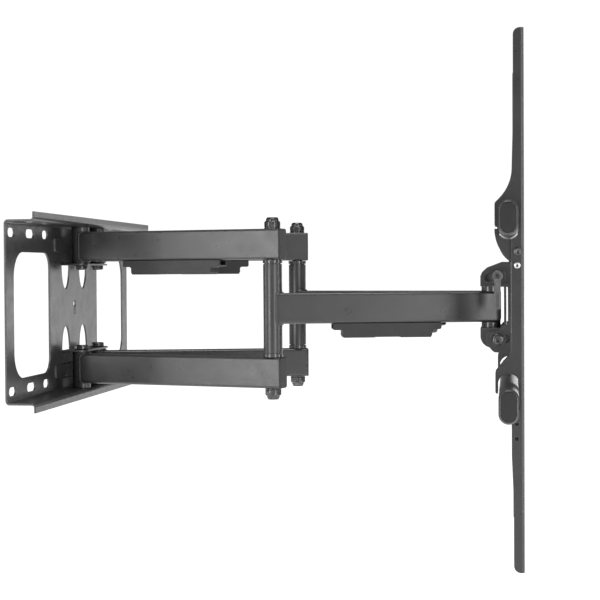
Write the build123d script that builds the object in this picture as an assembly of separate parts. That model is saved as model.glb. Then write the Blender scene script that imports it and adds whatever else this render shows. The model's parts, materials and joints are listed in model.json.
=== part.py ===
from build123d import *
from math import atan2, cos, radians, sin
import os

os.makedirs("parts", exist_ok=True)

# ---- driving dimensions, mm ----
SHEET = 2.1              # wall plate sheet
PLATE_LEN = 460.0
PLATE_DEPTH = 33.0
FLANGE_Z = 96.3          # outer face of the long flanges
LIP_Z = 104.2
BEND_R = 4.5
WINDOW_X = (90.5, 207.0)
WINDOW_Z = (-71.5, 63.0)
WINDOW_R = (28.0, 17.0)  # corners towards the plate's end and towards its middle
SLOT_Z = 83.3
SLOT_H = 9.5
SLOTS = ((213.5, 20.5), (155.5, 26.5), (106.0, 19.0))
KEYHOLE_R = 4.5
KEYHOLE_SLOT = 4.0
RELIEF = (33.0, 15.0, 28.0)   # centre, half width and height of the tall reliefs
RELIEF_Z = 49.5
PAD_X = 76.0
PAD_Z = (65.0, 82.0)
PAD_H = 1.8

ARM = 245.0              # pivot to pivot, rear and front
REST = 13.9              # arm angle from the outward direction
PIVOT_X = 32.0
WALL_Y = -20.0
TUBE_H = 34.0
TUBE_W = 20.0
TUBE_R = 3.0
TUBE_T = 2.0
REAR_Z = 71.0            # centre height of the rear tubes
TUBE_END = 11.0          # rear tube past the elbow pivot
FRONT_END = 7.6          # front tube past the head pivot
CAP_T = 1.5

SHELF_T = 2.1
SHELF_Z = 51.3           # bracket plate face beside the rear sleeve
HINGE_Z = (52.0, 93.5)   # rear sleeve ends
SHELF_X = 49.0
SHELF_Y = -31.0
WALL_BOLT_R = 5.0
WALL_HEAD_R = 8.5
WALL_HEAD_H = 2.2
WALL_NUT_H = 5.0
WALL_NUT_AF = 15.0       # across flats
PIN_WASHER_T = 0.6
PIN_WASHER_R = 9.5
PIVOT_BORE_R = 8.0       # bore through the tubes, filled by a sleeve
ELBOW_BOLT_R = 6.0
HEAD_BORE_R = 7.0
ELBOW_WASHER_R = 9.0
ELBOW_WASHER_T = 1.0
ELBOW_NUT_AF = 16.8
ELBOW_NUT_TOP = 8.2      # hexagon top above the tube
ELBOW_DOME_TOP = 12.6    # nylon collar top above the tube
ELBOW_DOME_R = 7.2
SLEEVE_R = 10.5
SLEEVE_Z = 49.0
BUSH_GROOVE = 1.0        # narrow neck between the post and its bushing
FIT = 0.05
HEX_ROUND = 0.53         # radius that trims a hexagon's corners, over its width

COVER_X = (62.0, 184.5)
FRONT_COVER_X = (66.0, 187.0)
COVER_DEEP = 15.9
COVER_LUG = 7.3
COVER_WALL = 1.6

HEAD_PLATE_Z = 23.0      # inner face of the swivel plates
HEAD_BOLT_AF = 18.0
HEAD_BOLT_H = 6.6
HEAD_NUT_H = 8.0
SPACER_R = 10.4
HEAD_T = 2.5
HEAD_X = 54.0
HEAD_WEB_Y = -512.8
EAR_X = 54.6             # inner face of the tilt side plates
EAR_T = 3.0
TILT_Y = -507.0
TILT_BOLT_Y = -503.5
TILT_BOLT_Z = 35.0
TILT_BOLT_R = 4.0
TILT_HEAD_R = 6.5
TILT_HEAD_H = 4.0
TILT_WASHER_R = 8.6
TILT_WASHER_T = 1.4
TILT_NUT_AF = 13.0
TILT_NUT_H = 6.5
TILT_LONG = 17.6         # how far the lever's bolt stands out
LEVER_LEN = 37.0
LEVER_HUB_R = 6.0
LEVER_HUB_LONG = 18.4
TILT_WEB_Y = -518.2
TILT_MIN = -5.0
TILT_MAX = 15.0

BAR_Y = -515.5
BAR_Z = 92.0
BAR_X = 242.4
CAP_DEEP = 2.8
BAR_H = 35.0
BAR_W = 20.0
BAR_T = 2.0
BAR_CLEAR = 0.9          # gap between a rail and the upper crossbar

FACE_Y = -531.4
RAIL_X = 150.0
RAIL_W = 32.0
RAIL_T = 2.5
RAIL_BEND = 3.2
RAIL_SWEEP = 44.0
RAIL_TOP = 288.5
RAIL_BOTTOM = -270.5
LATCH_Y = -525.0
LATCH_Z = 60.0
LATCH_PIN_R = 3.0
LATCH_TOP = 83.4
LATCH_HALF = (27.2, 35.0)
LATCH_GAP = 1.3          # space under the crossbar
RIVET_Z = 45.7
RIVET_R = 2.0
RIVET_HEAD_R = 3.3
VESA_HOLE_R = 4.5
VESA_Z = (100.0, 150.0, 200.0)
FACE_SLOT_Z = (-235.0, 0.0, 250.0)
SIDE_HOLE_Z = (-117.0, -132.0)
SIDE_HOLE_R = 2.2

ELBOW_X = PIVOT_X + ARM * sin(radians(REST))
ELBOW_Y = WALL_Y - ARM * cos(radians(REST))
HEAD_Y = WALL_Y - 2 * ARM * cos(radians(REST))


# ---- helpers ----
def block(x0, x1, y0, y1, z0, z1):
    return Pos((x0 + x1) / 2, (y0 + y1) / 2, (z0 + z1) / 2) * Box(x1 - x0, y1 - y0, z1 - z0)


def rod(x, y, z0, z1, r):
    return Pos(x, y, (z0 + z1) / 2) * Cylinder(r, abs(z1 - z0))


def rod_x(x0, x1, y, z, r):
    return Pos((x0 + x1) / 2, y, z) * Rot(0, 90, 0) * Cylinder(r, x1 - x0)


def rod_y(x, y0, y1, z, r):
    return Pos(x, (y0 + y1) / 2, z) * Rot(90, 0, 0) * Cylinder(r, y1 - y0)


def ring(x, y, z0, z1, r_out, r_in):
    return rod(x, y, z0, z1, r_out) - rod(x, y, z0 - 1, z1 + 1, r_in)


def hexagon(x, y, z0, z1, across):
    face = RegularPolygon(across / 2, 6, major_radius=False)
    body = extrude(Pos(x, y, z0) * face, z1 - z0)
    return body & rod(x, y, z0, z1, across * HEX_ROUND)


def slot_y(x, z, length, height, y0, y1):
    """Horizontal slot cutter through a wall that faces Y."""
    half = (length - height) / 2
    cut = block(x - half, x + half, y0, y1, z - height / 2, z + height / 2)
    cut += rod_y(x - half, y0, y1, z, height / 2)
    cut += rod_y(x + half, y0, y1, z, height / 2)
    return cut


def side_plate(points, x0, x1):
    """Prism along X from (y, z) points."""
    wire = Polyline(*[(0, y, z) for y, z in points], close=True)
    face = make_face(wire)
    return Pos(x0, 0, 0) * extrude(face, x1 - x0, dir=(1, 0, 0))


def rounded_plate(points, radii, x0, x1):
    """Prism along X with a radius on each corner."""
    body = side_plate(points, x0, x1)
    for (y, z), r in zip(points, radii):
        if r > 0:
            near = [e for e in body.edges().filter_by(Axis.X)
                    if abs(e.center().Y - y) < 0.01 and abs(e.center().Z - z) < 0.01]
            body = fillet(near, r)
    return body


def stadium(x0, x1, y, z, height, width, grow=0.0):
    r = width / 2 + grow
    half = height / 2 - width / 2
    body = block(x0, x1, y - r, y + r, z - half, z + half)
    body += rod_x(x0, x1, y, z - half, r)
    body += rod_x(x0, x1, y, z + half, r)
    return body


def box_tube(x0, x1, z):
    """Rectangular tube along +X."""
    outer = block(x0, x1, -TUBE_W / 2, TUBE_W / 2, z - TUBE_H / 2, z + TUBE_H / 2)
    outer = fillet(outer.edges().filter_by(Axis.X), TUBE_R)
    w = TUBE_W / 2 - TUBE_T
    h = TUBE_H / 2 - TUBE_T
    inner = block(x0 - 1, x1 + 1, -w, w, z - h, z + h)
    inner = fillet(inner.edges().filter_by(Axis.X), TUBE_R - TUBE_T + 0.2)
    return outer - inner


def tube_cap(x_end, z, plug_deep=2.6):
    """Plastic plug in the outer end of a tube."""
    flange = block(x_end, x_end + CAP_T, -TUBE_W / 2, TUBE_W / 2, z - TUBE_H / 2, z + TUBE_H / 2)
    flange = fillet(flange.edges().filter_by(Axis.X), TUBE_R)
    rim = flange.faces().sort_by(Axis.X)[-1].edges()
    flange = fillet(rim, 0.9)
    w = TUBE_W / 2 - TUBE_T - FIT
    h = TUBE_H / 2 - TUBE_T - FIT
    plug = block(x_end - plug_deep, x_end, -w, w, z - h, z + h)
    plug = fillet(plug.edges().filter_by(Axis.X), TUBE_R - TUBE_T + 0.2)
    return flange + plug


def rear_place(shape):
    return Pos(PIVOT_X, WALL_Y, 0) * Rot(0, 0, REST - 90) * shape


def front_place(shape):
    return Pos(ELBOW_X, ELBOW_Y, 0) * Rot(0, 0, -REST - 90) * shape


def save(shape, name):
    export_step(shape, "parts/" + name + ".step")


def save_group(shapes, name):
    export_step(Compound(children=list(shapes)), "parts/" + name + ".step")


def save_pair(shape, name):
    """Right piece as built, left piece mirrored."""
    save(shape, name + "_right")
    save(mirror(shape, about=Plane.YZ), name + "_left")


def save_pair_group(shapes, name):
    save_group(shapes, name + "_right")
    save_group([mirror(s, about=Plane.YZ) for s in shapes], name + "_left")


# ---- wall side ----
def wall_plate():
    x = PLATE_LEN / 2
    outer = [(0, -FLANGE_Z), (0, FLANGE_Z), (-PLATE_DEPTH + SHEET, FLANGE_Z),
             (-PLATE_DEPTH + SHEET, LIP_Z), (-PLATE_DEPTH, LIP_Z),
             (-PLATE_DEPTH, FLANGE_Z - SHEET), (-SHEET, FLANGE_Z - SHEET),
             (-SHEET, -FLANGE_Z + SHEET), (-PLATE_DEPTH, -FLANGE_Z + SHEET),
             (-PLATE_DEPTH, -LIP_Z), (-PLATE_DEPTH + SHEET, -LIP_Z),
             (-PLATE_DEPTH + SHEET, -FLANGE_Z)]
    inside = BEND_R - SHEET
    radii = [BEND_R, BEND_R, inside, 0, 0, BEND_R, inside, inside, BEND_R, 0, 0, inside]
    body = rounded_plate(outer, radii, -x, x)
    for sx in (-1, 1):
        x0, x1 = sorted((sx * WINDOW_X[0], sx * WINDOW_X[1]))
        cut = block(x0, x1, -10, 5, WINDOW_Z[0], WINDOW_Z[1])
        for x_edge, r in zip((WINDOW_X[1], WINDOW_X[0]), WINDOW_R):
            near = [e for e in cut.edges().filter_by(Axis.Y)
                    if abs(e.center().X - sx * x_edge) < 0.01]
            cut = fillet(near, r)
        body -= cut
        for sz in (-1, 1):
            for cx, length in SLOTS:
                body -= slot_y(sx * cx, sz * SLOT_Z, length, SLOT_H, -10, 5)
            body -= relief(sx, sz)
            body -= rod(sx * PIVOT_X, WALL_Y, sz * 90, sz * 100, WALL_BOLT_R)
    for sz in (-1, 1):
        body += pad(sz)
    body -= rod_y(0, -10, 5, 4, KEYHOLE_R)
    half = KEYHOLE_SLOT / 2
    body -= block(-half, half, -10, 5, -9 + half, 4)
    body -= rod_y(0, -10, 5, -9 + half, half)
    return body


def relief(sx, sz):
    """Tall half-oval opening whose rounded tip points at the middle of the plate."""
    centre, half, height = RELIEF
    oval = extrude(Ellipse(half, height), 10, both=True)
    oval = Pos(sx * centre, 0, sz * RELIEF_Z) * Rot(90, 0, 0) * oval
    z0, z1 = sorted((0, sz * RELIEF_Z))
    return oval & block(-80, 80, -10, 10, z0, z1)


def pad(sz):
    """Pressed stiffening pad behind each pair of arms."""
    z0, z1 = sorted((sz * PAD_Z[0], sz * PAD_Z[1]))
    body = block(-PAD_X, PAD_X, -SHEET - PAD_H, -SHEET + 0.2, z0, z1)
    body = fillet(body.edges().filter_by(Axis.Y), 4)
    front = body.faces().sort_by(Axis.Y)[0]
    body = chamfer(front.edges(), 1.2)
    return body


def shelf(z_in, way):
    """Bracket plate; z_in is the face beside the tube, way points away from it."""
    z0, z1 = sorted((z_in, z_in + way * SHELF_T))
    body = block(-SHELF_X, SHELF_X, SHELF_Y, -SHEET, z0, z1)
    corners = [e for e in body.edges().filter_by(Axis.Z) if e.center().Y < SHELF_Y + 1]
    body = fillet(corners, 11)
    for sx in (-1, 1):
        body -= rod(sx * PIVOT_X, WALL_Y, z0 - 1, z1 + 1, WALL_BOLT_R)
    return body


def wall_hardware():
    """Low-headed bolts through the flanges, hex nuts between the arm pairs."""
    bolts = []
    nuts = []
    washers = []
    for sx in (-1, 1):
        for sz in (-1, 1):
            x = sx * PIVOT_X
            a = sz * (SHELF_Z - SHELF_T)
            b = sz * FLANGE_Z
            h0, h1 = sorted((b, b + sz * WALL_HEAD_H))
            s0, s1 = sorted((a - sz * (WALL_NUT_H + 0.3), b))
            bolts.append(rod(x, WALL_Y, h0, h1, WALL_HEAD_R) + rod(x, WALL_Y, s0, s1, WALL_BOLT_R))
            n0, n1 = sorted((a, a - sz * WALL_NUT_H))
            nut = hexagon(x, WALL_Y, n0, n1, WALL_NUT_AF)
            nuts.append(nut - rod(x, WALL_Y, n0 - 1, n1 + 1, WALL_BOLT_R))
            for base in (sz * SHELF_Z, sz * (FLANGE_Z - SHEET - PIN_WASHER_T)):
                w0, w1 = sorted((base, base + sz * PIN_WASHER_T))
                washers.append(ring(x, WALL_Y, w0, w1, PIN_WASHER_R, WALL_BOLT_R))
    return bolts, nuts, washers


# ---- arms, built along +X ----
def rear_tube(sz):
    """Box tube welded to an upright hinge sleeve at the wall."""
    z = sz * REAR_Z
    z0, z1 = sorted((sz * HINGE_Z[0], sz * HINGE_Z[1]))
    tube = box_tube(0, ARM + TUBE_END, z)
    tube -= rod(0, 0, z - 30, z + 30, SLEEVE_R - 1.0)
    tube = sorted(tube.solids(), key=lambda s: -s.volume)[0]
    body = tube + rod(0, 0, z0, z1, SLEEVE_R)
    body -= rod(0, 0, z - 30, z + 30, PIVOT_BORE_R)
    body -= rod(ARM, 0, z - 30, z + 30, PIVOT_BORE_R)
    return body


def rear_sleeves():
    """Bushings at the wall and spacers at the elbow, inside the rear tubes."""
    out = []
    for sz in (-1, 1):
        h0, h1 = sorted((sz * HINGE_Z[0], sz * HINGE_Z[1]))
        out.append(ring(0, 0, h0, h1, PIVOT_BORE_R, WALL_BOLT_R + FIT))
        z0 = sz * REAR_Z - TUBE_H / 2
        out.append(ring(ARM, 0, z0, z0 + TUBE_H, PIVOT_BORE_R, ELBOW_BOLT_R))
    return out


def cover(x_span, z_top):
    """Cable clip under a tube, with a shallow lug at each end."""
    x0, x1 = x_span
    mid = (x0 + x1) / 2
    z_low = z_top - COVER_DEEP
    z_lug = z_top - COVER_LUG
    half = TUBE_W / 2 - 0.2
    right = [(x1, z_top), (x1, z_lug + 1.5), (x1 - 1.5, z_lug), (x1 - 9, z_lug),
             (x1 - 10.5, z_lug - 1.5), (x1 - 10.5, z_low + 2.6), (x1 - 12, z_low),
             (mid + 15, z_low), (mid + 13, z_low + 0.6)]
    left = [(x0 + x1 - px, pz) for px, pz in reversed(right)]
    pts = right + left
    wire = Polyline(*[(px, 0, pz) for px, pz in pts], close=True)
    body = extrude(make_face(wire), half, both=True, dir=(0, 1, 0))
    wall = COVER_WALL
    body -= block(x0 + 12.2, x1 - 12.2, -half + wall, half - wall, z_low + wall + 0.6, z_top + 1)
    body -= block(x0 - 1, x1 + 1, -half + 3, half - 3, z_lug + wall + 0.2, z_top - 0.6)
    return body


def elbow_hardware():
    """Through bolt with a domed lock nut at each end."""
    tube = REAR_Z + TUBE_H / 2
    hex_base = tube + ELBOW_WASHER_T
    hex_top = tube + ELBOW_NUT_TOP
    dome_top = tube + ELBOW_DOME_TOP
    bolt = rod(ARM, 0, -hex_top, hex_top, ELBOW_BOLT_R)
    washers = []
    nuts = []
    for sz in (-1, 1):
        w0, w1 = sorted((sz * tube, sz * hex_base))
        washers.append(ring(ARM, 0, w0, w1, ELBOW_WASHER_R, ELBOW_BOLT_R))
        n0, n1 = sorted((sz * hex_base, sz * hex_top))
        nut = hexagon(ARM, 0, n0, n1, ELBOW_NUT_AF)
        nut -= rod(ARM, 0, n0 - 1, n1 + 1, ELBOW_BOLT_R)
        c0, c1 = sorted((sz * hex_top, sz * dome_top))
        dome = rod(ARM, 0, c0, c1, ELBOW_DOME_R)
        rim = [e for e in dome.edges() if abs(e.center().Z - sz * dome_top) < 0.01]
        nuts.append(nut + fillet(rim, 2.6))
    return bolt, washers, nuts


def front_arm():
    """Box tube welded to an upright post at the elbow."""
    tube = box_tube(0, ARM + FRONT_END, 0)
    tube -= rod(0, 0, -60, 60, SLEEVE_R - 1.0)
    tube = sorted(tube.solids(), key=lambda s: -s.volume)[0]
    body = tube + rod(0, 0, -SLEEVE_Z, SLEEVE_Z, SLEEVE_R)
    body -= rod(0, 0, -60, 60, PIVOT_BORE_R)
    body -= rod(ARM, 0, -60, 60, HEAD_BORE_R)
    return body


def elbow_bushings():
    """Flanged nylon bushings between the post and the rear tubes."""
    out = []
    top = REAR_Z - TUBE_H / 2 - 0.4
    for sz in (-1, 1):
        z0, z1 = sorted((sz * (SLEEVE_Z + BUSH_GROOVE), sz * top))
        collar = rod(0, 0, z0, z1, SLEEVE_R + 0.3)
        g0, g1 = sorted((sz * SLEEVE_Z, sz * (SLEEVE_Z + BUSH_GROOVE)))
        collar += rod(0, 0, g0, g1, SLEEVE_R - 1.3)
        p0, p1 = sorted((sz * SLEEVE_Z, sz * (SLEEVE_Z - 14)))
        bush = collar + rod(0, 0, p0, p1, PIVOT_BORE_R)
        out.append(bush - rod(0, 0, -60, 60, ELBOW_BOLT_R + FIT))
    return out


def front_sleeve():
    return ring(ARM, 0, -TUBE_H / 2, TUBE_H / 2, HEAD_BORE_R, ELBOW_BOLT_R + FIT)


# ---- head ----
def swivel_bracket():
    """Channel that holds both front arms, with upright tabs for the tilt bolts."""
    z_in = HEAD_PLATE_Z
    z_out = z_in + HEAD_T
    back = HEAD_Y + 11.2
    web = HEAD_WEB_Y + HEAD_T
    body = block(-HEAD_X, HEAD_X, HEAD_WEB_Y, web, -z_out, z_out)
    for sz in (-1, 1):
        z0, z1 = sorted((sz * z_in, sz * z_out))
        body += block(-HEAD_X, HEAD_X, HEAD_WEB_Y, back, z0, z1)
        for sx in (-1, 1):
            x0, x1 = sorted((sx * (HEAD_X - HEAD_T), sx * HEAD_X))
            if sz > 0:
                pts = [(back, z_in), (back, 36), (back - 14, 46), (-509.0, 46), (-509.0, z_in)]
                radii = [0, 5, 9, 3, 0]
            else:
                pts = [(back, -z_in), (back, -45), (-516.8, -45), (-516.8, -z_in)]
                radii = [0, 13, 4, 2]
            body += rounded_plate(pts, radii, x0, x1)
            body -= rod_x(x0 - 1, x1 + 1, TILT_BOLT_Y, sz * TILT_BOLT_Z, TILT_BOLT_R)
            body -= rod(sx * PIVOT_X, HEAD_Y, z0 - 1, z1 + 1, ELBOW_BOLT_R)
    light = block(-30, 30, HEAD_WEB_Y - 1, web + 1, -12, 12)
    body -= fillet(light.edges().filter_by(Axis.Y), 8)
    return body


def head_hardware():
    """Through bolts, nuts and spacers that hold the front arms in the head."""
    z_in = HEAD_PLATE_Z
    z_out = z_in + HEAD_T
    bolts = []
    nuts = []
    spacers = []
    for sx in (-1, 1):
        x = sx * PIVOT_X
        seat = z_out + ELBOW_WASHER_T
        bolt = hexagon(x, HEAD_Y, seat, seat + HEAD_BOLT_H, HEAD_BOLT_AF)
        bolts.append(bolt + rod(x, HEAD_Y, -seat - HEAD_NUT_H - 0.1, seat + 0.1, ELBOW_BOLT_R))
        nut = hexagon(x, HEAD_Y, -seat - HEAD_NUT_H, -seat, ELBOW_NUT_AF)
        nuts.append(nut - rod(x, HEAD_Y, -60, 60, ELBOW_BOLT_R))
        for sz in (-1, 1):
            s0, s1 = sorted((sz * (TUBE_H / 2 + 0.3), sz * z_in))
            spacers.append(ring(x, HEAD_Y, s0, s1, SPACER_R, ELBOW_BOLT_R))
    return bolts, nuts, spacers


def head_washers():
    z_out = HEAD_PLATE_Z + HEAD_T
    out = []
    for sx in (-1, 1):
        for sz in (-1, 1):
            w0, w1 = sorted((sz * z_out, sz * (z_out + ELBOW_WASHER_T)))
            out.append(ring(sx * PIVOT_X, HEAD_Y, w0, w1, ELBOW_WASHER_R, ELBOW_BOLT_R))
    return out


def arc_slot(sz, x0, x1):
    """Slot round the tilt axis that lets a fixed bolt pass."""
    r = TILT_BOLT_R + 0.4
    dy = TILT_BOLT_Y - TILT_Y
    radius = (dy ** 2 + TILT_BOLT_Z ** 2) ** 0.5
    rest = atan2(sz * TILT_BOLT_Z, dy)
    ends = (rest - radians(TILT_MAX + 1), rest - radians(TILT_MIN - 1))
    band = rod_x(x0, x1, TILT_Y, 0, radius + r)
    band -= rod_x(x0 - 1, x1 + 1, TILT_Y, 0, radius - r)
    far = 3 * radius
    corners = [(TILT_Y, 0)] + [(TILT_Y + far * cos(a), far * sin(a)) for a in ends]
    wedge = side_plate(corners, x0, x1)
    cut = band & wedge
    for a in ends:
        cut += rod_x(x0, x1, TILT_Y + radius * cos(a), radius * sin(a), r)
    return cut


def tilt_bracket():
    """Slotted side plates joined by a web, with a neck to each crossbar."""
    web = TILT_WEB_Y + HEAD_T
    x_out = EAR_X + EAR_T
    body = None
    for sx in (-1, 1):
        x0, x1 = sorted((sx * EAR_X, sx * x_out))
        pts = [(TILT_WEB_Y, -50), (-499, -50), (-490.5, -40), (-490.5, -27), (-503, -27),
               (-510, -19.5), (-514.6, -19.5), (-514.6, 22.5), (-506, 22.5), (-501.5, 27),
               (-485.6, 27), (-485.6, 38), (-492, 44), (-508, 50), (TILT_WEB_Y, 50)]
        radii = [0, 6, 6, 3, 3, 1.5, 1, 1, 1.5, 1.5, 2, 4, 6, 3, 0]
        plate = rounded_plate(pts, radii, x0, x1)
        plate -= arc_slot(1, x0 - 1, x1 + 1)
        plate -= arc_slot(-1, x0 - 1, x1 + 1)
        body = plate if body is None else body + plate
    body += block(-x_out, x_out, TILT_WEB_Y, web, 28, 50)
    body += block(-x_out, x_out, TILT_WEB_Y, web, -56, -50)
    for sz in (-1, 1):
        pts = [(-x_out, sz * 49.9), (x_out, sz * 49.9), (40, sz * 80), (-40, sz * 80)]
        wire = Polyline(*[(px, TILT_WEB_Y, pz) for px, pz in pts], close=True)
        neck = extrude(make_face(wire), HEAD_T, dir=(0, 1, 0))
        neck -= stadium(-80, 80, BAR_Y, sz * BAR_Z, BAR_H, BAR_W)
        body += sorted(neck.solids(), key=lambda s: -s.volume)[0]
    return body


def tilt_hardware():
    """Socket bolts, washers and nuts; the left upper bolt is long, for the lever."""
    x_in = HEAD_X - HEAD_T
    x_out = EAR_X + EAR_T
    bolts = []
    washers = []
    nuts = []
    for sx in (-1, 1):
        for sz in (-1, 1):
            y = TILT_BOLT_Y
            z = sz * TILT_BOLT_Z
            seat = x_out + TILT_WASHER_T
            long_bolt = sx < 0 and sz > 0
            reach = x_out + TILT_LONG if long_bolt else seat
            s0, s1 = sorted((sx * (x_in - 8), sx * reach))
            bolt = rod_x(s0, s1, y, z, TILT_BOLT_R)
            if not long_bolt:
                h0, h1 = sorted((sx * seat, sx * (seat + TILT_HEAD_H)))
                head = rod_x(h0, h1, y, z, TILT_HEAD_R)
                socket = extrude(RegularPolygon(2.5, 6, major_radius=False), 2, both=True)
                socket = Pos((h0 + h1) / 2 + sx * 1.4, y, z) * Rot(0, 90, 0) * socket
                bolt = bolt + head - socket
            bolts.append(bolt)
            w0, w1 = sorted((sx * (x_out + 0.1), sx * seat))
            washer = rod_x(w0, w1, y, z, TILT_WASHER_R)
            washers.append(washer - rod_x(w0 - 1, w1 + 1, y, z, TILT_BOLT_R))
            n0, n1 = sorted((sx * (x_in - TILT_NUT_H), sx * x_in))
            nut = extrude(RegularPolygon(TILT_NUT_AF / 2, 6, major_radius=False), n1 - n0)
            nut = Pos(n0, y, z) * Rot(0, 90, 0) * nut
            nuts.append(nut - rod_x(n0 - 1, n1 + 1, y, z, TILT_BOLT_R))
    return bolts, washers, nuts


def tilt_lever():
    """Clamping lever on the long bolt: a round hub and a flat handle."""
    x0 = -(EAR_X + EAR_T + TILT_WASHER_T + 0.1)
    x1 = x0 - LEVER_HUB_LONG
    y = TILT_BOLT_Y
    z = TILT_BOLT_Z
    body = rod_x(x1, x0, y, z, LEVER_HUB_R)
    body += block(x1 + 0.4, x1 + 4.8, y - 3.2, y + 3.2, z - LEVER_LEN, z)
    tip = [e for e in body.edges().filter_by(Axis.X) if e.center().Z < z - LEVER_LEN + 0.1]
    body = fillet(tip, 1.2)
    body -= rod_x(x0 - 17, x0 + 1, y, z, TILT_BOLT_R + FIT)
    socket = extrude(RegularPolygon(2.2, 6, major_radius=False), 1.2, both=True)
    return body - Pos(x1, y, z) * Rot(0, 90, 0) * socket


def crossbar(sz):
    """Flat-oval tube that the rails hang on."""
    body = stadium(-BAR_X, BAR_X, BAR_Y, sz * BAR_Z, BAR_H, BAR_W)
    return body - stadium(-BAR_X - 1, BAR_X + 1, BAR_Y, sz * BAR_Z, BAR_H, BAR_W, -BAR_T)


def bar_caps():
    """Plastic plugs with a sloped rim in the crossbar ends."""
    out = []
    for sx in (-1, 1):
        for sz in (-1, 1):
            a, b = sorted((sx * BAR_X, sx * (BAR_X + CAP_DEEP)))
            cap = stadium(a, b, BAR_Y, sz * BAR_Z, BAR_H, BAR_W)
            face = cap.faces().sort_by(Axis.X)[-1 if sx > 0 else 0]
            cap = chamfer(face.edges(), CAP_DEEP - 0.4, CAP_DEEP - 0.2)
            c, d = sorted((sx * BAR_X, sx * (BAR_X - 9)))
            plug = stadium(c, d, BAR_Y, sz * BAR_Z, BAR_H, BAR_W, -BAR_T - FIT)
            out.append(cap + plug)
    return out


# ---- rails, built at the right-hand side ----
def rail():
    """Folded channel that hooks over the upper crossbar and rests on the lower one."""
    x0 = RAIL_X - RAIL_W / 2
    x1 = RAIL_X + RAIL_W / 2
    back = FACE_Y + 13.0
    end = FACE_Y + 11.0
    hook = FACE_Y + 30.0
    saddle = hook - 0.4
    pts = [(FACE_Y, RAIL_BOTTOM), (end, RAIL_BOTTOM), (end, -200), (back, -150),
           (back, -86), (saddle, -86), (saddle, -64), (back, -44), (back, 86),
           (hook, 86), (hook, 110), (back, 127), (end, 205), (end, RAIL_TOP),
           (FACE_Y, RAIL_TOP)]
    radii = [0, 7, 0, 0, 0, 2, 3, 16, 0, 1.5, 4, RAIL_SWEEP, 0, 7, 0]
    body = rounded_plate(pts, radii, x0, x1)
    bends = [e for e in body.edges().filter_by(Axis.Z) if abs(e.center().Y - FACE_Y) < 0.01]
    body = fillet(bends, RAIL_BEND)
    inside = block(x0 + RAIL_T, x1 - RAIL_T, FACE_Y + RAIL_T, 0, RAIL_BOTTOM - 5, RAIL_TOP + 5)
    folds = [e for e in inside.edges().filter_by(Axis.Z) if e.center().Y < FACE_Y + RAIL_T + 0.01]
    body -= fillet(folds, RAIL_BEND - RAIL_T + 0.3)
    body -= stadium(x0 - 5, x1 + 5, BAR_Y, BAR_Z, BAR_H, BAR_W, BAR_CLEAR)
    body -= stadium(x0 - 5, x1 + 5, BAR_Y, BAR_Z - LATCH_GAP, BAR_H, BAR_W, BAR_CLEAR)
    half = BAR_W / 2 + BAR_CLEAR
    body -= block(x0 - 5, x1 + 5, BAR_Y - half, BAR_Y + half, BAR_Z - 12, BAR_Z)
    body -= stadium(x0 - 5, x1 + 5, BAR_Y, -BAR_Z + 4, BAR_H + 8, BAR_W, 1.0)
    body -= block(x0 - 5, x1 + 5, BAR_Y, 0, -120, -86)
    for z in VESA_Z:
        for sz in (-1, 1):
            body -= rod_y(RAIL_X, FACE_Y - 5, FACE_Y + 5, sz * z, VESA_HOLE_R)
    for z in FACE_SLOT_Z:
        cut = block(RAIL_X - 4, RAIL_X + 4, FACE_Y - 5, FACE_Y + 5, z - 18, z + 18)
        body -= fillet(cut.edges().filter_by(Axis.Y), 3.9)
    for z in SIDE_HOLE_Z:
        body -= rod_x(x0 - 5, x1 + 5, LATCH_Y + 1.5, z, SIDE_HOLE_R)
    body -= rod_x(x0 - 5, x1 + 5, LATCH_Y, LATCH_Z, LATCH_PIN_R)
    body -= rod_x(x0 - 5, x1 + 5, LATCH_Y + 0.6, RIVET_Z, RIVET_R)
    return body


def latch():
    """Hook below the upper crossbar; its back is part of an oval."""
    gap = 0.35
    x0 = RAIL_X - RAIL_W / 2 + RAIL_T + gap
    x1 = RAIL_X + RAIL_W / 2 - RAIL_T - gap
    front = FACE_Y + RAIL_T + 0.5
    steps = 12
    pts = []
    for i in range(steps + 1):
        a = radians(76) * i / steps
        pts.append((front + LATCH_HALF[0] * cos(a), LATCH_TOP - LATCH_HALF[1] * sin(a)))
    pts += [(LATCH_Y - 2.6, LATCH_Z - 2.6), (front, LATCH_Z), (front, LATCH_TOP)]
    body = side_plate(pts, x0, x1)
    body -= block(x0 + 2.5, x1 - 2.5, -540, -505.3, LATCH_Z - 5.5, 100)
    body -= stadium(x0 - 5, x1 + 5, BAR_Y, BAR_Z - LATCH_GAP, BAR_H, BAR_W, 0.8)
    body -= block(x0 - 5, x1 + 5, -540, BAR_Y, 72.5, 100)
    body -= rod_x(x0 - 5, x1 + 5, LATCH_Y, LATCH_Z, LATCH_PIN_R + FIT)
    return sorted(body.solids(), key=lambda s: -s.volume)[0]


def latch_pin():
    """Pin across the rail with a flat head at each end."""
    x0 = RAIL_X - RAIL_W / 2
    x1 = RAIL_X + RAIL_W / 2
    body = rod_x(x0 - 2, x1 + 2, LATCH_Y, LATCH_Z, LATCH_PIN_R)
    for a, b in ((x0 - 2.4, x0), (x1, x1 + 2.4)):
        body += rod_x(a, b, LATCH_Y, LATCH_Z, 4.4)
    return body


def rivets():
    """Hollow rivets, one in each side of the rail."""
    out = []
    x0 = RAIL_X - RAIL_W / 2
    x1 = RAIL_X + RAIL_W / 2
    y = LATCH_Y + 0.6
    grip = RAIL_T + 0.8
    for a, b, c, d in ((x0 - 1.1, x0, x0, x0 + grip), (x1, x1 + 1.1, x1 - grip, x1)):
        head = rod_x(a, b, y, RIVET_Z, RIVET_HEAD_R)
        shank = rod_x(c, d, y, RIVET_Z, RIVET_R)
        out.append(head + shank - rod_x(x0 - 5, x1 + 5, y, RIVET_Z, 0.9))
    return out


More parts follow.
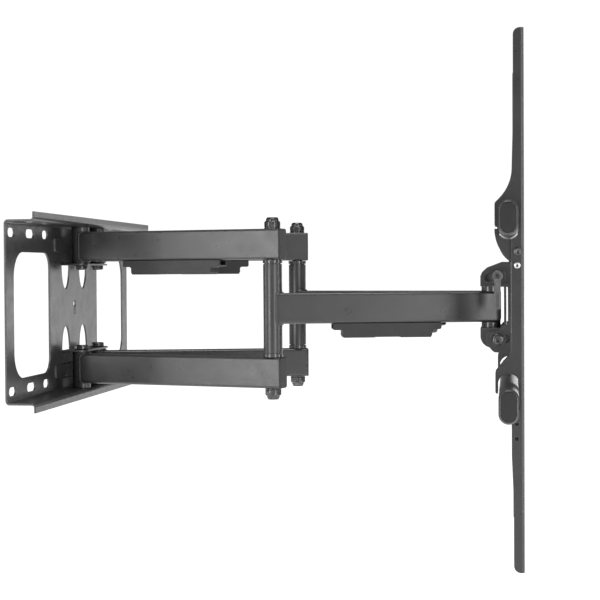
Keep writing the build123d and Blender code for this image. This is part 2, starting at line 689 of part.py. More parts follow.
# ---- build ----
save(wall_plate(), "wall_plate")
save(shelf(SHELF_Z, -1), "wall_bracket_upper")
save(shelf(-SHELF_Z, 1), "wall_bracket_lower")
wall_bolts, wall_nuts, wall_washers = wall_hardware()
save_group(wall_bolts, "wall_pivot_bolts")
save_group(wall_nuts, "wall_pivot_nuts")
save_group(wall_washers, "wall_pivot_washers")

save_pair(rear_place(rear_tube(1)), "rear_tube_upper")
save_pair(rear_place(rear_tube(-1)), "rear_tube_lower")
save_pair_group([rear_place(s) for s in rear_sleeves()], "rear_pivot_sleeves")
caps = [tube_cap(ARM + TUBE_END, sz * REAR_Z) for sz in (-1, 1)]
save_pair_group([rear_place(s) for s in caps], "rear_tube_caps")
save_pair(rear_place(cover(COVER_X, REAR_Z - TUBE_H / 2)), "rear_cable_cover")
bolt, washers, nuts = elbow_hardware()
save_pair(rear_place(bolt), "elbow_bolt")
save_pair_group([rear_place(s) for s in washers], "elbow_washers")
save_pair_group([rear_place(s) for s in nuts], "elbow_nuts")

save_pair(front_place(front_arm()), "front_arm")
save_pair_group([front_place(s) for s in elbow_bushings()], "elbow_bushings")
save_pair(front_place(front_sleeve()), "front_pivot_sleeve")
save_pair(front_place(tube_cap(ARM + FRONT_END, 0, 0.5)), "front_tube_cap")
save_pair(front_place(cover(FRONT_COVER_X, -TUBE_H / 2)), "front_cable_cover")

save(swivel_bracket(), "swivel_bracket")
head_bolts, head_nuts, head_spacers = head_hardware()
save_group(head_bolts, "head_pivot_bolts")
save_group(head_nuts, "head_pivot_nuts")
save_group(head_spacers, "head_pivot_bushings")
save_group(head_washers(), "head_pivot_washers")
tilt_bolts, tilt_washers, tilt_nuts = tilt_hardware()
save_group(tilt_bolts, "tilt_bolts")
save_group(tilt_washers, "tilt_washers")
save_group(tilt_nuts, "tilt_nuts")
save(tilt_lever(), "tilt_lever")
save(tilt_bracket(), "tilt_bracket")
save(crossbar(1), "crossbar_upper")
save(crossbar(-1), "crossbar_lower")
save_group(bar_caps(), "crossbar_caps")

save_pair(rail(), "rail")
save_pair(latch(), "rail_latch")
save_pair(latch_pin(), "rail_latch_pin")
save_pair_group(rivets(), "rail_rivets")
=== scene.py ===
import json
from math import cos, pi, radians, sin

import bmesh
import bpy
from mathutils import Matrix, Vector


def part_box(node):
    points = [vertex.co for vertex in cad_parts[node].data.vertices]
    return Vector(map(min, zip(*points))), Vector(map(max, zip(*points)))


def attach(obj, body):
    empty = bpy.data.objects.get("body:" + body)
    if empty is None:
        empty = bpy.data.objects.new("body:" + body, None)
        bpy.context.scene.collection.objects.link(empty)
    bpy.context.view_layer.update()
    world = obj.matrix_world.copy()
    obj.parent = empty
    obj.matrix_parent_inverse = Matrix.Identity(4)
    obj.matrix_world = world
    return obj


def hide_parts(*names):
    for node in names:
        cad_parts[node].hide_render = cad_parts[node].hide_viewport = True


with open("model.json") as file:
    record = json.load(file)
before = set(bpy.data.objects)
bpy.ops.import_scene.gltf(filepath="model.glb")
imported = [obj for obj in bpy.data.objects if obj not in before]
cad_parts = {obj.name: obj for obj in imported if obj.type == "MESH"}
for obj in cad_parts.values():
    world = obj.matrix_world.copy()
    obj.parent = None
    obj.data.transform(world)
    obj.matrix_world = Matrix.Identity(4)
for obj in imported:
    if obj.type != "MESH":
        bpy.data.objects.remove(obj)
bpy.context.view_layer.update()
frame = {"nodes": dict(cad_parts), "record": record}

NODES = frame["nodes"]
MM = 0.001
REST = radians(13.9)
SIDES = (("left", -1), ("right", 1))

# fasteners and tubes, in millimetres
LIP_RISE = 7.9            # wall plate's lips above its flanges
TUBE_HALF = (10.0, 17.0)  # arm tube, half width and half height
SLEEVE_R = 10.5
WALL_NUT = (15.0, 5.0)    # across flats, height
WALL_HEAD = (8.4, 2.2)    # radius, height
ELBOW_NUT_ACROSS = 16.8
ELBOW_BOLT_R = 6.0
HEAD_BOLT = (18.0, 6.6)   # across flats, height
HEAD_NUT = (16.8, 8.0)
TILT_BOLT_R = 3.95
TILT_HEAD = (6.5, 4.0)    # radius, height
TILT_NUT_H = 6.5
SOCKET = 5.0              # hexagon sockets, across flats

# light
SURROUND = 0.17           # how strongly the backdrop lights the object
BACKDROP = 1.05           # how bright the camera sees it


# ---------------------------------------------------------------- materials
class Nodes:
    """Short calls for building one node tree."""

    def __init__(self, name):
        self.material = bpy.data.materials.new(name)
        self.material.use_nodes = True
        self.tree = self.material.node_tree
        self.shader = self.tree.nodes["Principled BSDF"]

    def add(self, kind, **values):
        node = self.tree.nodes.new(kind)
        for key, value in values.items():
            if key in node.inputs:
                node.inputs[key].default_value = value
            else:
                setattr(node, key, value)
        return node

    def link(self, out, into):
        self.tree.links.new(out, into)

    def coords(self):
        return self.add("ShaderNodeTexCoord").outputs["Object"]

    def noise(self, scale, detail=3.0, rough=0.5, stretch=(1, 1, 1)):
        mapping = self.add("ShaderNodeMapping")
        mapping.inputs["Scale"].default_value = stretch
        self.link(self.coords(), mapping.inputs["Vector"])
        node = self.add("ShaderNodeTexNoise")
        node.inputs["Scale"].default_value = scale
        node.inputs["Detail"].default_value = detail
        node.inputs["Roughness"].default_value = rough
        self.link(mapping.outputs["Vector"], node.inputs["Vector"])
        return node.outputs["Fac"]

    def ramp(self, fac, low, high, dark, light):
        node = self.add("ShaderNodeMapRange")
        node.inputs["From Min"].default_value = low
        node.inputs["From Max"].default_value = high
        node.inputs["To Min"].default_value = dark
        node.inputs["To Max"].default_value = light
        self.link(fac, node.inputs["Value"])
        return node.outputs["Result"]

    def math(self, operation, a, b):
        node = self.add("ShaderNodeMath", operation=operation)
        for socket, value in zip(node.inputs, (a, b)):
            if isinstance(value, (int, float)):
                socket.default_value = value
            else:
                self.link(value, socket)
        return node.outputs[0]

    def mix(self, fac, a, b):
        node = self.add("ShaderNodeMix", data_type="RGBA")
        self.link(fac, node.inputs[0])
        node.inputs[6].default_value = (*a, 1)
        node.inputs[7].default_value = (*b, 1)
        return node.outputs[2]

    def edge(self, radius):
        """1 on sharp edges, 0 on flat faces, and the rounded normal."""
        bevel = self.add("ShaderNodeBevel", samples=6)
        bevel.inputs["Radius"].default_value = radius
        geometry = self.add("ShaderNodeNewGeometry")
        dot = self.add("ShaderNodeVectorMath", operation="DOT_PRODUCT")
        self.link(bevel.outputs["Normal"], dot.inputs[0])
        self.link(geometry.outputs["Normal"], dot.inputs[1])
        fac = self.ramp(dot.outputs["Value"], 0.995, 0.86, 0.0, 1.0)
        return fac, bevel.outputs["Normal"]

    def bump(self, height, strength, distance, normal=None):
        node = self.add("ShaderNodeBump")
        node.inputs["Strength"].default_value = strength
        node.inputs["Distance"].default_value = distance
        self.link(height, node.inputs["Height"])
        if normal is not None:
            self.link(normal, node.inputs["Normal"])
        return node.outputs["Normal"]


def powder_coat(name, shade, edge_shade, rough, grain=1.0):
    """Satin black powder coat: fine orange peel, soft edges, faint cloudiness."""
    n = Nodes(name)
    worn, rounded = n.edge(0.0007)
    cloud = n.noise(22, 4, 0.6)
    speck = n.noise(2600, 2, 0.6)
    tone = n.ramp(n.math("ADD", cloud, n.math("MULTIPLY", speck, 0.5)), 0.45, 1.05, -0.12, 0.14)
    base = n.mix(worn, (shade,) * 3, (edge_shade,) * 3)
    tint = n.add("ShaderNodeHueSaturation")
    n.link(n.math("ADD", tone, 1.0), tint.inputs["Value"])
    n.link(base, tint.inputs["Color"])
    n.link(tint.outputs["Color"], n.shader.inputs["Base Color"])
    n.link(n.ramp(n.noise(60, 5, 0.65), 0.3, 0.7, rough - 0.05, rough + 0.06), n.shader.inputs["Roughness"])
    peel = n.math("ADD", n.noise(1300, 2, 0.5), n.math("MULTIPLY", n.noise(3800, 2, 0.5), 0.45))
    n.link(n.bump(peel, 0.35 * grain, 0.00010, rounded), n.shader.inputs["Normal"])
    n.shader.inputs["Specular IOR Level"].default_value = 0.5
    return n.material


def moulded_plastic(name, shade, rough, grain_depth=1.0):
    """Black moulded plastic with a fine spark-eroded grain."""
    n = Nodes(name)
    worn, rounded = n.edge(0.0005)
    n.link(n.mix(worn, (shade,) * 3, (shade * 1.5,) * 3), n.shader.inputs["Base Color"])
    n.link(n.ramp(n.noise(90, 4, 0.6), 0.3, 0.7, rough - 0.04, rough + 0.05), n.shader.inputs["Roughness"])
    grain = n.add("ShaderNodeTexVoronoi")
    grain.inputs["Scale"].default_value = 2200
    n.link(n.coords(), grain.inputs["Vector"])
    height = n.math("ADD", n.math("MULTIPLY", grain.outputs["Distance"], 0.6), n.noise(900, 3, 0.6))
    n.link(n.bump(height, 0.22 * grain_depth, 0.00008, rounded), n.shader.inputs["Normal"])
    n.shader.inputs["Specular IOR Level"].default_value = 0.35
    return n.material


def plated_steel(name, low, high, rough):
    """Zinc-plated steel: cloudy passivation, fine turning marks."""
    n = Nodes(name)
    worn, rounded = n.edge(0.0004)
    cloud = n.ramp(n.noise(260, 5, 0.65), 0.3, 0.72, 0.0, 1.0)
    fac = n.math("MAXIMUM", cloud, worn)
    n.link(n.mix(fac, (low, low, low * 1.03), (high, high, high * 0.99)), n.shader.inputs["Base Color"])
    n.link(n.ramp(n.noise(700, 4, 0.7), 0.3, 0.7, rough - 0.07, rough + 0.09), n.shader.inputs["Roughness"])
    marks = n.noise(1500, 3, 0.6, (1, 1, 6))
    n.link(n.bump(marks, 0.18, 0.00006, rounded), n.shader.inputs["Normal"])
    n.shader.inputs["Metallic"].default_value = 1.0
    return n.material


def smooth_nylon(name):
    n = Nodes(name)
    worn, rounded = n.edge(0.0004)
    n.link(n.mix(worn, (0.035,) * 3, (0.06,) * 3), n.shader.inputs["Base Color"])
    n.link(n.ramp(n.noise(300, 3, 0.5), 0.3, 0.7, 0.14, 0.22), n.shader.inputs["Roughness"])
    n.link(n.bump(n.noise(500, 2, 0.5), 0.05, 0.0001, rounded), n.shader.inputs["Normal"])
    return n.material


def floor_material():
    n = Nodes("pale_floor")
    n.link(n.mix(n.noise(3, 3, 0.5), (0.86, 0.86, 0.86), (0.9, 0.9, 0.9)), n.shader.inputs["Base Color"])
    n.shader.inputs["Roughness"].default_value = 0.9
    n.shader.inputs["Emission Color"].default_value = (1, 1, 1, 1)
    n.shader.inputs["Emission Strength"].default_value = 1.0
    return n.material


MATERIALS = {
    "black_powder_coat": powder_coat("black_powder_coat", 0.022, 0.055, 0.31),
    "black_plastic": moulded_plastic("black_plastic", 0.011, 0.45),
    "dark_fastener": plated_steel("dark_fastener", 0.045, 0.12, 0.32),
    "bright_zinc": plated_steel("bright_zinc", 0.50, 0.68, 0.33),
    "nylon_bearing": smooth_nylon("nylon_bearing"),
}
# Cap rim plastic: glossier than the cap face (real). Its lighter colour, 0.035 against the face's 0.011, is a
# painted highlight on the rim.
GLOSSY_RIM_WITH_PAINTED_HIGHLIGHT = moulded_plastic("glossy_rim_painted_highlight", 0.035, 0.17, 0.25)
LEVER_COAT = powder_coat("lever_coat", 0.050, 0.15, 0.30, 0.5)


def paint(obj, slot):
    obj.data.materials.clear()
    obj.data.materials.append(MATERIALS[slot])


for part in frame["record"]["subparts"]:
    node = NODES[part["node"]]
    for index in range(len(node.material_slots)):
        node.material_slots[index].material = MATERIALS[part["material_slot"]]


# ---------------------------------------------------------------- mesh helpers
def add_piece(name, verts, faces, slot, body, smooth=35):
    """A new visible piece from vertices in metres."""
    mesh = bpy.data.meshes.new(name)
    mesh.from_pydata(verts, [], faces)
    mesh.validate()
    work = bmesh.new()
    work.from_mesh(mesh)
    bmesh.ops.remove_doubles(work, verts=work.verts, dist=1e-7)
    bmesh.ops.recalc_face_normals(work, faces=work.faces)
    work.to_mesh(mesh)
    work.free()
    obj = bpy.data.objects.new(name, mesh)
    bpy.context.collection.objects.link(obj)
    shade(obj, smooth)
    paint(obj, slot)
    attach(obj, body)
    return obj


def shade(obj, angle):
    """Smooth shading with edges sharper than the angle kept crisp."""
    mesh = obj.data
    mesh.shade_smooth()
    mesh.set_sharp_from_angle(angle=radians(angle))


def joined(parts):
    """One vertex and face list from several."""
    verts = []
    faces = []
    for part_verts, part_faces in parts:
        start = len(verts)
        verts.extend(part_verts)
        faces.extend([tuple(i + start for i in face) for face in part_faces])
    return verts, faces


def stack(rings, closed_ends=True):
    """Skin over a list of rings with the same number of points."""
    count = len(rings[0])
    verts = [v for ring in rings for v in ring]
    faces = []
    for k in range(len(rings) - 1):
        for i in range(count):
            j = (i + 1) % count
            faces.append((k * count + i, k * count + j, (k + 1) * count + j, (k + 1) * count + i))
    if closed_ends:
        faces.append(tuple(range(count))[::-1])
        last = (len(rings) - 1) * count
        faces.append(tuple(last + i for i in range(count)))
    return verts, faces


def placed(part, matrix):
    verts, faces = part
    return [tuple(matrix @ Vector(v)) for v in verts], faces


def upright(x, y, z, way=1):
    """Frame whose local z is up, or down when way is -1. Millimetres in, metres out."""
    turn = Matrix.Identity(4) if way > 0 else Matrix.Rotation(pi, 4, "X")
    return Matrix.Translation((x * MM, y * MM, z * MM)) @ turn @ Matrix.Scale(MM, 4)


def sideways(x, y, z, way=1):
    """Frame whose local z is +X, or -X when way is -1."""
    turn = Matrix.Rotation(way * pi / 2, 4, "Y")
    return Matrix.Translation((x * MM, y * MM, z * MM)) @ turn @ Matrix.Scale(MM, 4)


def hex_radius(across, angle):
    return across / 2 / cos((angle + pi / 6) % (pi / 3) - pi / 6)


def lathe(profile, steps=60):
    """Turned body from (radius, height) or (radius, height, across flats) rows."""
    rings = []
    for row in profile:
        ring = []
        for i in range(steps):
            a = 2 * pi * i / steps
            r = min(row[0], hex_radius(row[2], a)) if len(row) > 2 else row[0]
            ring.append((r * cos(a), r * sin(a), row[1]))
        rings.append(ring)
    return stack(rings)


def thread(radius, z0, z1, pitch=1.75, steps=36):
    """Screw end with a helical groove and a chamfered tip."""
    depth = 0.33 * pitch
    rows = max(8, int((z1 - z0) / pitch * 8))
    rings = []
    for k in range(rows + 1):
        z = z0 + (z1 - z0) * k / rows
        tip = max(0.0, z - (z1 - 1.0))
        ring = []
        for i in range(steps):
            a = 2 * pi * i / steps
            wave = abs(((z / pitch - i / steps) % 1.0) - 0.5) * 2
            r = radius - depth * (1 - wave) - 0.6 * tip
            ring.append((r * cos(a), r * sin(a), z))
        rings.append(ring)
    return stack(rings)


def hex_rows(across, height):
    """Side of a hexagon with its corners rounded off."""
    corner = across * 0.53
    face = across / 2 * 0.95
    rows = [(face, 0.0, across)]
    for k in range(1, 6):
        rows.append((face + (corner - face) * k / 5, 0.16 * k, across))
    for k in range(5, -1, -1):
        rows.append((face + (corner - face) * k / 5, height - 0.2 * k, across))
    return rows


def plain_nut(across, height, bore):
    return lathe([(bore, 0.0)] + hex_rows(across, height) + [(bore + 0.5, height), (bore, height - 0.5)], 72)


def lock_nut(across, height, dome, bolt_r):
    """Hexagon nut with a rounded collar; the bolt's end shows in its mouth."""
    rows = [(bolt_r, 0.0)] + hex_rows(across, height)
    collar = across * 0.43
    for k in range(7):
        a = pi / 2 * k / 6
        rows.append((collar - dome * 0.6 * (1 - cos(a)), height + 0.2 + (dome - 0.2) * sin(a)))
    top = height + dome
    rows += [(bolt_r + 0.1, top - 0.2), (bolt_r, top - 1.6), (bolt_r - 0.8, top - 1.0), (0.4, top - 1.0)]
    return lathe(rows, 72)


def button_head(radius, height, socket, deep):
    """Domed head with a hexagon socket."""
    rows = [(radius - 0.3, 0.0), (radius, 0.4), (radius, height * 0.35)]
    for k in range(1, 6):
        a = pi / 2 * k / 5
        rows.append((radius - (radius * 0.42) * (1 - cos(a)), height * 0.35 + height * 0.65 * sin(a)))
    wide = socket / 2 / cos(pi / 6)
    rows += [(wide + 0.35, height), (wide, height - 0.35, socket), (wide, height - deep, socket),
             (0.2, height - deep - 0.4)]
    return lathe(rows, 60)


def bead(points, radius, closed=False, pitch=2.3, steps=10):
    """Weld bead: overlapping ripples along a line of points, in millimetres."""
    total = 0.0
    rings = []
    last = len(points) - 1
    for k, point in enumerate(points):
        before = Vector(points[k - 1 if k else (last if closed else 0)])
        after = Vector(points[k + 1 if k < last else (0 if closed else last)])
        along = (after - before).normalized()
        if k:
            total += (Vector(point) - Vector(points[k - 1])).length
        side = along.cross(Vector((0.31, 0.42, 0.85))).normalized()
        rise = along.cross(side)
        swell = 0.84 + 0.22 * abs(sin(pi * total / pitch)) + 0.05 * sin(total * 1.7)
        ends = 1.0 if closed else min(1.0, 0.35 + 0.3 * min(k, last - k))
        r = radius * swell * ends
        rings.append([tuple(Vector(point) + r * (cos(a) * side + sin(a) * rise))
                      for a in (2 * pi * i / steps for i in range(steps))])
    if closed:
        rings.append(rings[0])
    return stack(rings, not closed)


def run(start, end, step=0.45):
    """Evenly spaced points from start to end, in millimetres."""
    start = Vector(start)
    end = Vector(end)
    count = max(2, int((end - start).length / step))
    return [tuple(start.lerp(end, k / count)) for k in range(count + 1)]


def saddle(sleeve_r, half_w, half_h, z_mid, corner=3.0, step=0.45):
    """Line where a box tube meets an upright sleeve, tube running along +x."""
    loop = []
    corners = ((1, 1), (-1, 1), (-1, -1), (1, -1))
    arcs = []
    for k, (sy, sz) in enumerate(corners):
        cy = sy * (half_w - corner)
        cz = sz * (half_h - corner)
        angles = [pi / 2 * k + pi / 2 * i / 6 for i in range(7)]
        arcs.append([(cy + corner * cos(a), cz + corner * sin(a)) for a in angles])
    for k in range(4):
        loop.extend(arcs[k])
        start = Vector(arcs[k][-1])
        end = Vector(arcs[(k + 1) % 4][0])
        count = int((end - start).length / step)
        loop.extend([tuple(start.lerp(end, i / count)) for i in range(1, count)])
    return [((sleeve_r ** 2 - min(abs(y), sleeve_r) ** 2) ** 0.5 + 0.25, y, z_mid + z) for y, z in loop]


def arm_frame(x, y, angle, side):
    """Arm's own axes: local +x along the arm, mirrored for the left side."""
    turn = Matrix.Rotation(angle - pi / 2, 4, "Z")
    base = Matrix.Translation((x * MM, y * MM, 0)) @ turn @ Matrix.Scale(MM, 4)
    if side > 0:
        return base
    return Matrix.Scale(-1, 4, (1, 0, 0)) @ base


# ---------------------------------------------------------------- places, from the joints
def joint_mm(name):
    return [v * 1000 for v in JOINTS[name]["pos_m"]]


JOINTS = {joint["name"]: joint for joint in frame["record"]["behaviour"]["joints"]}
PIVOT = joint_mm("fold_right")
ELBOW = joint_mm("elbow_right")
HEAD = joint_mm("head_right")
LEVER = joint_mm("tilt_lever_turn")
LATCH = joint_mm("latch_turn_right")


def span(node, axis):
    """Lowest and highest value of a node along an axis, in millimetres."""
    low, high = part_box(node)
    return low[axis] * 1000, high[axis] * 1000


# ---------------------------------------------------------------- wall side
def wall_details():
    flange = span("wall_plate", 2)[1] - LIP_RISE
    shelf_in, shelf_out = span("wall_bracket_upper", 2)
    across, nut_h = WALL_NUT
    heads = []
    nuts = []
    beads = []
    for sx in (-1, 1):
        for sz in (-1, 1):
            top = upright(sx * PIVOT[0], PIVOT[1], sz * flange, sz)
            heads.append(placed(button_head(*WALL_HEAD, SOCKET, 1.2), top))
            low = upright(sx * PIVOT[0], PIVOT[1], sz * shelf_in, -sz)
            nuts.append(placed(plain_nut(across, nut_h, 4.9), low))
            heads.append(placed(thread(4.95, -0.5, nut_h + 0.3, 1.5), low))
    for sz in (-1, 1):
        line = run((-46.0, -3.0, sz * (shelf_out + 0.6)), (46.0, -3.0, sz * (shelf_out + 0.6)))
        beads.append(placed(bead(line, 1.15), Matrix.Scale(MM, 4)))
    bolts = add_piece("wall_bolts_detail", *joined(heads), "dark_fastener", "wall_base")
    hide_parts("wall_pivot_bolts")
    nut_piece = add_piece("wall_nuts_detail", *joined(nuts), "dark_fastener", "wall_base")
    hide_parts("wall_pivot_nuts")
    add_piece("wall_bracket_welds", *joined(beads), "black_powder_coat", "wall_base", 60)


# ---------------------------------------------------------------- arms
def arm_details(side_name, side):
    tube_top = span("rear_tube_caps_right", 2)[1]
    seat_z = span("elbow_washers_right", 2)[1]
    hex_h = span("elbow_bolt_right", 2)[1] - seat_z
    dome_h = span("elbow_nuts_right", 2)[1] - seat_z - hex_h
    nuts = []
    for sz in (-1, 1):
        seat = upright(side * ELBOW[0], ELBOW[1], sz * seat_z, sz)
        nuts.append(placed(lock_nut(ELBOW_NUT_ACROSS, hex_h, dome_h, ELBOW_BOLT_R), seat))
    piece = add_piece("elbow_nuts_detail_" + side_name, *joined(nuts), "dark_fastener", "rear_" + side_name)
    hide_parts("elbow_nuts_" + side_name)

    place = arm_frame(PIVOT[0], PIVOT[1], REST, side)
    beads = []
    for sz in (-1, 1):
        line = saddle(SLEEVE_R, *TUBE_HALF, sz * (tube_top - TUBE_HALF[1]))
        beads.append(placed(bead(line, 1.1, True), place))
    add_piece("rear_hinge_welds_" + side_name, *joined(beads), "black_powder_coat", "rear_" + side_name, 60)

    place = arm_frame(ELBOW[0], ELBOW[1], -REST, side)
    weld = placed(bead(saddle(SLEEVE_R, *TUBE_HALF, 0.0), 1.45, True), place)
    add_piece("elbow_post_weld_" + side_name, *weld, "black_powder_coat", "front_" + side_name, 60)


# ---------------------------------------------------------------- head
def head_details():
    seat = span("head_pivot_washers", 2)[1]
    bolts = []
    nuts = []
    for sx in (-1, 1):
        up = upright(sx * HEAD[0], HEAD[1], seat, 1)
        down = upright(sx * HEAD[0], HEAD[1], -seat, -1)
        top = HEAD_BOLT[1]
        rows = hex_rows(*HEAD_BOLT) + [(6.4, top), (5.9, top - 0.3), (0.4, top - 0.3)]
        bolts.append(placed(lathe([(6.0, 0.0)] + rows, 72), up))
        bolts.append(placed(lathe([(6.0, -2 * seat - 0.5), (6.0, 0.0)], 48), up))
        bolts.append(placed(thread(5.95, 6.0, 8.1), down))
        nuts.append(placed(plain_nut(*HEAD_NUT, 5.9), down))
    piece = add_piece("head_bolts_detail", *joined(bolts), "dark_fastener", "swivel_head")
    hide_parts("head_pivot_bolts")
    piece = add_piece("head_nuts_detail", *joined(nuts), "dark_fastener", "swivel_head")
    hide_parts("head_pivot_nuts")

    outer = span("tilt_washers", 0)[1]
    inner = span("tilt_nuts", 0)[1] - TILT_NUT_H
    long_end = -span("tilt_bolts", 0)[0]
    parts = []
    for sx in (-1, 1):
        for sz in (-1, 1):
            z = sz * LEVER[2]
            out = sideways(sx * outer, LEVER[1], z, sx)
            back = sideways(sx * inner, LEVER[1], z, -sx)
            shank = outer - inner
            if sx < 0 and sz > 0:
                parts.append(placed(lathe([(TILT_BOLT_R, -shank), (TILT_BOLT_R, long_end - outer)], 40), out))
            else:
                parts.append(placed(lathe([(TILT_BOLT_R, -shank), (TILT_BOLT_R, 0.2)], 40), out))
                parts.append(placed(button_head(*TILT_HEAD, SOCKET, 2.2), out))
            parts.append(placed(thread(TILT_BOLT_R, -0.2, 1.5, 1.25), back))
    piece = add_piece("tilt_bolts_detail", *joined(parts), "dark_fastener", "swivel_head")
    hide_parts("tilt_bolts")


def lever_details():
    """Clamping lever: turned hub with a socket, and a tapered handle with ribs."""
    x_out, x_in = span("tilt_lever", 0)
    bottom = span("tilt_lever", 2)[0]
    length = x_in - x_out
    y = LEVER[1]
    z = LEVER[2]
    rows = [(4.1, 0.0), (5.4, 0.0), (5.6, 0.4), (5.2, 1.2), (5.2, length - 7.2), (5.9, length - 6.4),
            (5.95, length - 1.2), (5.5, length - 0.35), (4.9, length), (4.4, length), (4.1, length - 0.5),
            (3.9, length - 0.9), (2.9, length - 0.9), (2.6, length - 1.2, 4.4), (2.6, length - 2.6, 4.4),
            (0.3, length - 2.9)]
    hub = placed(lathe(rows, 60), sideways(x_in, y, z, -1))
    rings = []
    front = x_out + 0.5
    rear = front + 4.3
    stations = 40
    for k in range(stations + 1):
        t = k / stations
        level = z - 4.0 + (bottom - z + 4.0) * t
        half = 3.55 - 0.35 * t
        tip = max(0.0, (t - 0.96) / 0.04)
        half -= 0.7 * tip
        ribbed = 1.0 if 0.06 < t < 0.42 else 0.0
        step = 0.5 if t > 0.46 else 0.0
        ring = []
        for i in range(24):
            u = i / 23 * 2 - 1
            groove = 0.55 * ribbed * (0.5 - 0.5 * cos(3 * pi * (u + 1))) if abs(u) < 0.98 else 0.0
            x = front + groove + step + 0.5 * tip + 0.7 * abs(u) ** 6
            ring.append((x * MM, (y + half * u) * MM, level * MM))
        for i in range(24):
            u = 1 - i / 23 * 2
            x = rear - 0.5 * tip - 0.5 * abs(u) ** 6
            ring.append((x * MM, (y + half * u) * MM, level * MM))
        rings.append(ring)
    handle = stack(rings)
    piece = add_piece("tilt_lever_detail", *joined([hub, handle]), "dark_fastener", "lever", 40)
    piece.data.materials[0] = LEVER_COAT
    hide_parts("tilt_lever")


def stadium_ring(x, y, z, height, width, inset, steps=28):
    r = width / 2 - inset
    half = height / 2 - width / 2
    ring = []
    for way in (1, -1):
        for i in range(steps + 1):
            a = pi * i / steps + (0 if way > 0 else pi)
            ring.append((x * MM, (y + r * cos(a)) * MM, (z + way * half + r * sin(a)) * MM))
    return ring


def crossbar_details():
    """End caps with a bevelled rim and a sunk face, and the neck welds."""
    x_end = span("crossbar_upper", 0)[1]
    x_cap = span("crossbar_caps", 0)[1] - x_end
    y_low, y_high = span("crossbar_upper", 1)
    z_low, z_high = span("crossbar_upper", 2)
    y = (y_low + y_high) / 2
    z = (z_low + z_high) / 2
    rim = ((-6.0, 2.1), (0.0, 2.1), (0.0, 0.2), (0.3, 0.1), (0.6, 0.3), (x_cap - 0.6, 1.35),
           (x_cap - 0.15, 1.75), (x_cap, 2.1), (x_cap - 0.1, 2.35), (x_cap - 0.8, 2.5),
           (x_cap - 1.6, 2.6), (x_cap - 1.6, 6.5))
    face = ((x_cap - 1.5, 2.65), (x_cap - 0.55, 2.65), (x_cap - 0.35, 2.9), (x_cap - 0.3, 3.6),
            (x_cap - 0.2, 7.5))
    high = z_high - z_low
    wide = y_high - y_low
    rims = []
    faces = []
    for sx in (-1, 1):
        for sz in (-1, 1):
            for rows, out in ((rim, rims), (face, faces)):
                out.append(stack([stadium_ring(sx * (x_end + dx), y, sz * z, high, wide, inset)
                                  for dx, inset in rows]))
    piece = add_piece("crossbar_cap_rims", *joined(rims), "black_plastic", "tilt_head", 30)
    # The rims take the lighter glossy plastic. The gloss is real; the lighter colour is a painted highlight.
    piece.data.materials[0] = GLOSSY_RIM_WITH_PAINTED_HIGHLIGHT
    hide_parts("crossbar_caps")
    add_piece("crossbar_cap_faces", *joined(faces), "black_plastic", "tilt_head", 30)
    beads = []
    for sz in (-1, 1):
        for dy in (0.3, -3.1):
            line = run((-39.0, y + dy, sz * (z_low - 0.1)), (39.0, y + dy, sz * (z_low - 0.1)))
            beads.append(placed(bead(line, 1.1), Matrix.Scale(MM, 4)))
    add_piece("crossbar_welds", *joined(beads), "black_powder_coat", "tilt_head", 60)


# ---------------------------------------------------------------- rails
def rail_details(side_name):
    """Rivets in each side of the rail, with dark stubs in their mouths, and the latch pin."""
    x_low, x_high = span("rail_" + side_name, 0)
    rivet_y = sum(span("rail_rivets_right", 1)) / 2
    rivet_z = sum(span("rail_rivets_right", 2)) / 2
    rivets = []
    pins = []
    for x, way in ((x_low, -1), (x_high, 1)):
        rows = [(1.95, -3.2), (1.95, 0.0), (3.2, 0.0), (3.3, 0.35), (3.05, 0.85), (2.5, 1.1), (1.7, 1.0),
                (1.2, 0.6), (0.95, -0.4), (0.9, -2.4), (0.2, -2.6)]
        rivets.append(placed(lathe(rows, 48), sideways(x, rivet_y, rivet_z, way)))
        stub = [(1.15, -2.4), (1.15, 0.15), (0.95, 0.4), (0.5, 0.35), (0.2, 0.2)]
        pins.append(placed(lathe(stub, 32), sideways(x, rivet_y, rivet_z, way)))
        rows = [(2.95, -3.4), (2.95, 0.0), (4.3, 0.0), (4.4, 0.4), (4.4, 1.1), (4.1, 1.9),
                (3.5, 2.3), (2.6, 2.4), (2.2, 2.1), (0.3, 2.0)]
        pins.append(placed(lathe(rows, 48), sideways(x, LATCH[1], LATCH[2], way)))
    shank = lathe([(2.95, 0.0), (2.95, x_high - x_low)], 40)
    pins.append(placed(shank, sideways(x_low, LATCH[1], LATCH[2], 1)))
    body = "rail_" + side_name
    piece = add_piece("rail_rivets_detail_" + side_name, *joined(rivets), "bright_zinc", body)
    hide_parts("rail_rivets_" + side_name)
    piece = add_piece("rail_latch_pin_detail_" + side_name, *joined(pins), "dark_fastener", body)
    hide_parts("rail_latch_pin_" + side_name)


wall_details()
for side_name, side in SIDES:
    arm_details(side_name, side)
    rail_details(side_name)
head_details()
lever_details()
crossbar_details()


# ---------------------------------------------------------------- stage
def area_light(name, place, target, size, power):
    light = bpy.data.lights.new(name, "AREA")
    light.shape = "RECTANGLE"
    light.size, light.size_y = size
    light.energy = power
    obj = bpy.data.objects.new(name, light)
    obj.location = place
    aim = Vector(target) - Vector(place)
    obj.rotation_euler = aim.to_track_quat("-Z", "Y").to_euler()
    bpy.context.collection.objects.link(obj)


def build_floor():
    mesh = bpy.data.meshes.new("floor")
    half = 60.0
    low = -0.9
    mesh.from_pydata([(-half, -half, low), (half, -half, low), (half, half, low), (-half, half, low)],
                     [], [(0, 1, 2, 3)])
    floor = bpy.data.objects.new("floor", mesh)
    mesh.materials.append(floor_material())
    bpy.context.collection.objects.link(floor)


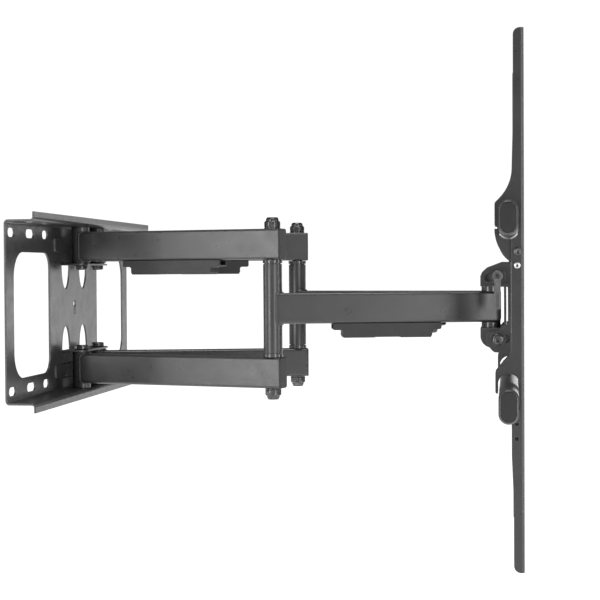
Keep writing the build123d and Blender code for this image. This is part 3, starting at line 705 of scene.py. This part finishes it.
def build_camera():
    """Long lens from the left end of the wall plate, a little above the arms."""
    turn = radians(-8.538)
    pitch = radians(-1.187)
    roll = radians(-0.334)
    look = Vector((cos(turn) * cos(pitch), -sin(turn) * cos(pitch), sin(pitch)))
    level = Vector((-sin(turn), -cos(turn), 0.0))
    rise = level.cross(look)
    right = cos(roll) * level + sin(roll) * rise
    up = cos(roll) * rise - sin(roll) * level
    camera = bpy.data.cameras.new("camera")
    camera.sensor_width = 36.0
    camera.lens = 84.04
    camera.clip_start = 0.05
    camera.clip_end = 200
    obj = bpy.data.objects.new("camera", camera)
    axes = Matrix((right, up, -look)).transposed()
    obj.matrix_world = Matrix.Translation((-1.6161, -0.5172, 0.0412)) @ axes.to_4x4()
    bpy.context.collection.objects.link(obj)
    bpy.context.scene.camera = obj


def build_world():
    """White backdrop; a dimmer surround lights the object, so the softboxes shape it."""
    world = bpy.data.worlds.new("studio")
    bpy.context.scene.world = world
    world.use_nodes = True
    tree = world.node_tree
    surround = tree.nodes["Background"]
    surround.inputs["Color"].default_value = (1, 1, 1, 1)
    surround.inputs["Strength"].default_value = SURROUND
    backdrop = tree.nodes.new("ShaderNodeBackground")
    backdrop.inputs["Color"].default_value = (1, 1, 1, 1)
    backdrop.inputs["Strength"].default_value = BACKDROP
    path = tree.nodes.new("ShaderNodeLightPath")
    mix = tree.nodes.new("ShaderNodeMixShader")
    tree.links.new(path.outputs["Is Camera Ray"], mix.inputs[0])
    tree.links.new(surround.outputs[0], mix.inputs[1])
    tree.links.new(backdrop.outputs[0], mix.inputs[2])
    tree.links.new(mix.outputs[0], tree.nodes["World Output"].inputs["Surface"])
    bpy.context.scene.view_settings.view_transform = "Standard"


build_floor()
build_camera()
build_world()
area_light("overhead", (-0.5, -0.3, 2.2), (0, -0.3, 0), (1.6, 0.8), 46)
area_light("key_wall", (-2.1, 1.10, 0.4), (0, -0.2, 0), (0.6, 1.8), 34)
area_light("key_screen", (-2.0, -1.75, 0.3), (0, -0.4, 0), (0.6, 1.8), 26)
area_light("edge_screen", (-0.3, -2.4, 0.1), (0, -0.5, 0), (0.4, 1.4), 16)
area_light("edge_wall", (-0.3, 2.2, 0.1), (0, -0.3, 0), (0.4, 1.4), 12)
area_light("far_side", (2.2, -1.1, 0.4), (0, -0.2, 0), (0.6, 1.2), 5)
